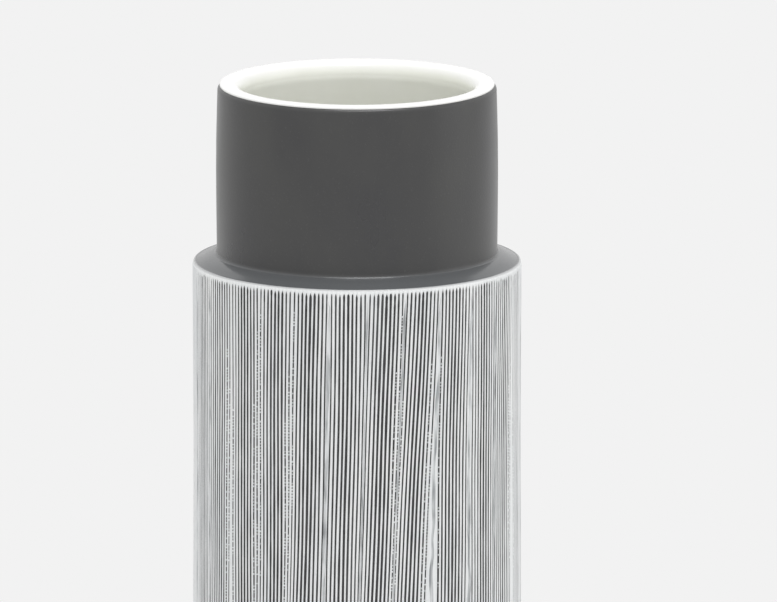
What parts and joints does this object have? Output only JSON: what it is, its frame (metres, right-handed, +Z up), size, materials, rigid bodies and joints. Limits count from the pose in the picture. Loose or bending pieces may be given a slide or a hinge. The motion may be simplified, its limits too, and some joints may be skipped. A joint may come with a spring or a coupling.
{
  "type": "vase",
  "caption": "Straight-sided stoneware vase with a flat shoulder, a wide charcoal neck and combed white slip over dark clay.",
  "frame": {"origin": "centre of the foot ring on the plane it rests on", "axes": "+Z up the turning axis towards the mouth, +Y away from the pictured side"},
  "size_m": [0.1106, 0.1106, 0.24],
  "materials": {
    "dark_stoneware": "unglazed matte",
    "charcoal_glaze": "satin matte",
    "white_slip": "dry matte",
    "white_liner_glaze": "glossy"
  },
  "bodies": {
    "root": {"base_slab": "dark_stoneware", "body_wall": "dark_stoneware", "shoulder_ring": "charcoal_glaze", "neck_wall": "charcoal_glaze", "white_slip_coat": "white_slip", "liner_glaze": "white_liner_glaze"}
  },
  "joints": []
}
